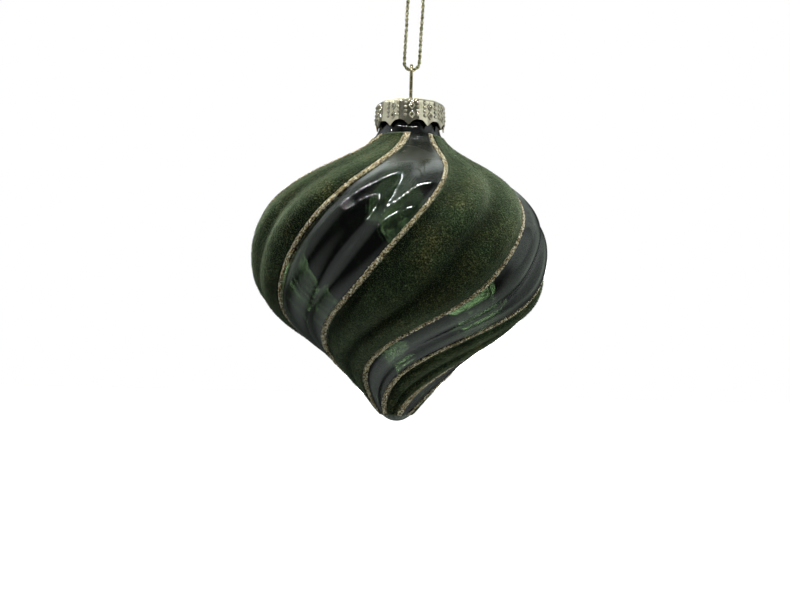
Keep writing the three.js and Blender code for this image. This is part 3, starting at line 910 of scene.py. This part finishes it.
# Radius, height and relief round each ring of the cap, down its outside and back up its inside
def capRings(angle):
    c = capShape
    half = math.pi / c["panels"]
    offset = (angle - math.radians(c["turn"]) + half) % (2 * half) - half
    share = np.abs(offset) / half
    flat = math.cos(half) / np.cos(offset)
    root = np.clip(1 - np.sqrt(share ** 2 + c["tabTip"] ** 2) / c["tabRoot"], 0, 1)
    edge = c["scallop"] * (1 - share) ** 2 + (c["tab"] - c["scallop"]) * root ** c["tabPower"]
    shoulderZ, skirtZ = c["top"] - c["shoulder"], c["top"] - c["skirt"]

    def ring(radius, z, flatness, inset=0.0):
        r = radius * (1 + (flat - 1) * flatness) - inset
        return r, z + 0 * angle, 0 * angle

    outside, inside = [], []
    for radius in np.linspace(c["hole"], c["topRadius"], c["topRings"]):
        flatness = c["topFlat"] * (radius / c["topRadius"]) ** 2
        outside.append(ring(radius, c["top"], flatness))
        inside.append(ring(radius, c["top"] - c["sheet"], flatness))
    for bend in np.radians(np.arange(c["bendStep"], 90, c["bendStep"])):
        sine, cosine = math.sin(bend), math.cos(bend)
        radius = c["topRadius"] + (c["shoulderRadius"] - c["topRadius"]) * sine
        z = shoulderZ + c["shoulder"] * cosine
        flatness = c["topFlat"] + (1 - c["topFlat"]) * sine
        outside.append(ring(radius, z, flatness))
        inside.append(ring(radius, z - c["sheet"] * cosine, flatness, c["sheet"] * sine))
    for t in np.linspace(0, 1, c["skirtRows"]):
        low = shoulderZ + (skirtZ - edge - shoulderZ) * t
        r = (c["shoulderRadius"] + (c["edgeRadius"] - c["shoulderRadius"]) * t) * flat
        fade = np.clip((1 - t) * c["stampFade"], 0, 1)
        stamped = embossHeight(offset, c["top"] - low, c["shoulderRadius"]) * fade
        outside.append((r + stamped, low, stamped / capEmboss["raised"]))
        inside.append((r - c["sheet"] + c["stampInside"] * stamped, low, 0 * angle))
    return [*outside, *reversed(inside)]


def makeCap():
    c = capShape
    count = c["panels"] * c["columnsPerPanel"]
    angle = 2 * math.pi * np.arange(count) / count
    rings = capRings(angle)
    points, faces, relief = [], [], []
    for row, (r, z, mark) in enumerate(rings):
        points.extend(np.stack([c["axis"] + r * np.sin(angle), -r * np.cos(angle), z], 1) * mm)
        relief.extend(mark)
        low, high = row * count, (row + 1) % len(rings) * count
        for k in range(count):
            after = (k + 1) % count
            faces.append((low + k, high + k, high + after, low + after))
    mesh = bpy.data.meshes.new("stampedCap")
    mesh.from_pydata([tuple(p) for p in points], [], faces)
    mesh.polygons.foreach_set("use_smooth", [True] * len(faces))
    mesh.set_sharp_from_angle(angle=math.radians(c["sharpFrom"]))
    mesh.attributes.new("relief", "FLOAT", "POINT").data.foreach_set("value", relief)
    mesh.materials.append(finishes["cap"])
    settle(addObject("stampedCap", mesh), "cap", "cap_metal", "crown_cap")
    print("cap stamped:", len(faces), "faces")


makeCap()


# Hanger wire: an eye over the cap, two straight shanks in its hole and two springy legs
wireShape = {  # millimetres
    "diameter": 0.86, "eyeRadius": 2.5, "gap": 0.3,  # the gap is the play of the cord in the eye
    "capSheet": 0.35, "shankSpacing": 1.5, "shankAbove": 1.6,
    "legLength": 17, "legStraight": 1.2, "legCurl": 1.2, "reach": 6.27,
    "legBends": ((0.22, 0.45), (0.5, 0.9), (0.75, 1)),  # shares of a leg's way down and way out
}


def makeWire():
    w = wireShape
    radius, shank = w["diameter"] / 2, w["shankSpacing"] / 2
    arch = -cordShape["drop"] + cordShape["diameter"] / 2 + w["gap"] + radius - w["eyeRadius"]
    neckIn, under = capShape["top"] + w["shankAbove"], capShape["top"] - w["capSheet"]
    spread, foot = under - w["legStraight"], under - w["legLength"]

    def halfOf(side):
        points = [(w["eyeRadius"] * math.sin(a), arch + w["eyeRadius"] * math.cos(a))
                  for a in map(math.radians, (15, 45, 75, 105))]
        points.append(((w["eyeRadius"] + shank) / 2, (arch - w["eyeRadius"] / 2 + neckIn) / 2))
        points += [(shank, neckIn), (shank, spread)]
        for down, out in w["legBends"]:
            points.append((shank + (w["reach"] - shank) * out, spread + (foot - spread) * down))
        points.append((w["reach"] - w["legCurl"], foot))
        return [(capShape["axis"], side * y, z) for y, z in points]

    guide = lineObject("eyeWire", [smoothLine([*reversed(halfOf(-1)), *halfOf(1)], 8)])
    guide.data.bevel_depth = radius * mm
    guide.data.bevel_resolution = 4
    guide.data.use_fill_caps = True
    mesh = plainMesh(guide)
    bpy.data.objects.remove(guide)
    mesh.materials.append(finishes["wire"])
    settle(addObject("eyeWire", mesh), "hanger", "wire_metal", "hanger_wire")
    print("wire bent:", len(mesh.polygons), "faces")


makeWire()


# Studio: a pale floor, two strings of small lights, soft lamps, and the room that the glass mirrors
studio = {  # metres
    "middle": (-0.0029, 0, -0.077),  # what the lamps face
    "floor": -0.42, "floorSize": 12.0, "floorColour": (0.93, 0.93, 0.93),
    "strips": [  # azimuth and elevation of both ends, distance, dots, watts of light
        (-48, 40, 30, 41, 0.8, 12, 3.0),
        (-89, 51, 118, 73, 0.9, 15, 5.0),
    ],
    "dot": 0.0145, "dotStrength": 280.0,
    "softLamps": [  # azimuth, elevation, distance, size, watts
        (60, 80, 0.8, 0.2, 4.8), (-70, 38, 0.9, 0.3, 0.6), (70, -28, 0.6, 0.3, 1.6),
    ],
    "room": 0.06, "darkest": 0.02, "ceiling": 0.42, "roomTint": (0.93, 1.0, 0.99),
    "roomOnMatt": 0.6,  # share of the room's light that matt surfaces get
    "walls": [  # soft parts of the room: azimuth, elevation, reach and core in degrees, brightness
        (-90, 20, 52, 22, 0.42),
        (96, 12, 56, 22, 0.46),
        (75, 34, 26, 8, 0.5),
        (20, 62, 30, 10, 0.2),
        (60, -80, 70, 20, 0.55),
        (180, 40, 26, 8, 0.9),
    ],
    "leaves": [  # foliage behind, seen through both walls of the glass: the same, its core half its reach
        (179, 7, 15, 0.5), (175, 1.5, 5, 2.6), (-176, 7, 5, 0.6), (179, -3, 6, 1.6),
    ],
}
aim = Vector(studio["middle"])
squareCorners = ((-1, -1), (1, -1), (1, 1), (-1, 1))


def heading(azimuth, elevation):
    a, e = math.radians(azimuth), math.radians(elevation)
    return Vector((math.sin(a) * math.cos(e), -math.cos(a) * math.cos(e), math.sin(e)))


def plainFinish(name, colour, glow):
    white = (1.0, 1.0, 1.0, 1.0)
    return newFinish(
        name, Base_Color=(*colour, 1.0), Roughness=0.9, Emission_Color=white, Emission_Strength=glow)[0]


def stagePiece(name, corners, faces, finish, seen):
    mesh = bpy.data.meshes.new(name)
    mesh.from_pydata([tuple(c) for c in corners], [], faces)
    mesh.materials.append(finish)
    piece = addObject(name, mesh)
    piece.visible_camera = seen
    return piece


def makeFloor():
    reach = studio["floorSize"] / 2
    corners = [(x * reach, y * reach, studio["floor"]) for x, y in squareCorners]
    finish = plainFinish("paleFloor", studio["floorColour"], 1.0)
    floor = stagePiece("floor", corners, [(0, 1, 2, 3)], finish, True)
    floor.visible_diffuse = floor.visible_glossy = floor.visible_transmission = False


def squareAt(centre, facing, size):
    right = facing.cross(Vector((0, 0, 1))).normalized()
    up = right.cross(facing).normalized()
    return [centre + right * size / 2 * i + up * size / 2 * j for i, j in squareCorners]


# A lamp that gives light but isn't seen or mirrored, with its back turned the given way
def hangLamp(name, centre, turn, watts, **settings):
    light = bpy.data.lights.new(name, "AREA")
    light.energy = watts
    for key, value in settings.items():
        setattr(light, key, value)
    lamp = addObject(name, light)
    lamp.matrix_world = Matrix.Translation(centre) @ turn.to_4x4()
    lamp.visible_camera = lamp.visible_glossy = lamp.visible_transmission = False


# Each string is a row of bright squares that are mirrored, and one long lamp that gives its light
def hangStrings():
    finish = plainFinish("stripDots", (1, 1, 1), studio["dotStrength"])
    for number, (az0, el0, az1, el1, distance, dots, watts) in enumerate(studio["strips"], 1):
        start, end = aim + heading(az0, el0) * distance, aim + heading(az1, el1) * distance
        corners, faces = [], []
        for i in range(dots):
            spot = start.lerp(end, i / (dots - 1))
            faces.append(tuple(range(4 * i, 4 * i + 4)))
            corners += squareAt(spot, (aim - spot).normalized(), studio["dot"])
        strip = stagePiece(f"lightStrip{number}", corners, faces, finish, False)
        strip.visible_diffuse = False
        centre = start.lerp(end, 0.5)
        back, along = (centre - aim).normalized(), (end - start).normalized()
        across = back.cross(along).normalized()
        turn = Matrix((across.cross(back), across, back)).transposed()
        hangLamp(f"stripLamp{number}", centre, turn, watts,
                 shape="RECTANGLE", size=(end - start).length, size_y=studio["dot"] * 2)


def hangSoftLamps():
    for number, (azimuth, elevation, distance, size, watts) in enumerate(studio["softLamps"], 1):
        back = heading(azimuth, elevation)
        turn = back.to_track_quat("Z", "Y").to_matrix()
        hangLamp(f"softLamp{number}", aim + back * distance, turn, watts, size=size)


# The room: a soft glow from each wall, a mottled ceiling past the second string, and foliage
def lightRoom():
    s = studio
    world = bpy.data.worlds.new("room")
    scene.world = world
    world.use_nodes = True
    tree = world.node_tree
    away = tree.nodes.new("ShaderNodeTexCoord").outputs["Generated"]

    def nearness(way):
        return Term(tree, vectorMath(tree, "DOT_PRODUCT", away, tuple(way)))

    def glow(azimuth, elevation, reach, core, strength):
        low, high = math.cos(math.radians(reach)), math.cos(math.radians(core))
        return nearness(heading(azimuth, elevation)).smooth(low, high, 0.0, strength)

    total = s["room"]
    for wall in s["walls"]:
        total = glow(*wall) + total
    az0, el0, az1, el1 = s["strips"][1][:4]
    behind = heading(az0, el0).cross(heading(az1, el1)).normalized()
    behind = behind if behind.y > 0 else -behind
    up = partOf(tree, away, "Z").smooth(0.35, 0.6)
    mottle = noiseTerm(tree, away, 14.0, 4.0).smooth(0.35, 0.65, 0.7, 1.2)
    total = total + nearness(behind).smooth(0.0, 0.07) * up * mottle * s["ceiling"]
    rustle = noiseTerm(tree, away, 55.0, 4.0).smooth(0.38, 0.62, 0.2, 1.25)
    for azimuth, elevation, reach, strength in s["leaves"]:
        total = total + glow(azimuth, elevation, reach, reach / 2, strength) * rustle
    path = tree.nodes.new("ShaderNodeLightPath")
    matt, seen = (Term(tree, path.outputs[label]) for label in ("Is Diffuse Ray", "Is Camera Ray"))
    total = total.calc("MAXIMUM", s["darkest"]) * (1.0 - matt * (1.0 - s["roomOnMatt"]))
    tint = colourRamp(tree, seen, [(0.0, s["roomTint"]), (1.0, (1.0, 1.0, 1.0))])
    background = tree.nodes["Background"]
    tree.links.new(tint, background.inputs["Color"])
    connect(tree, background.inputs["Strength"], seen.calc("MAXIMUM", total))


makeFloor()
hangStrings()
hangSoftLamps()
lightRoom()
print("studio lit")

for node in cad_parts.values():
    if not node.hide_render:
        print("still plain:", node.name)
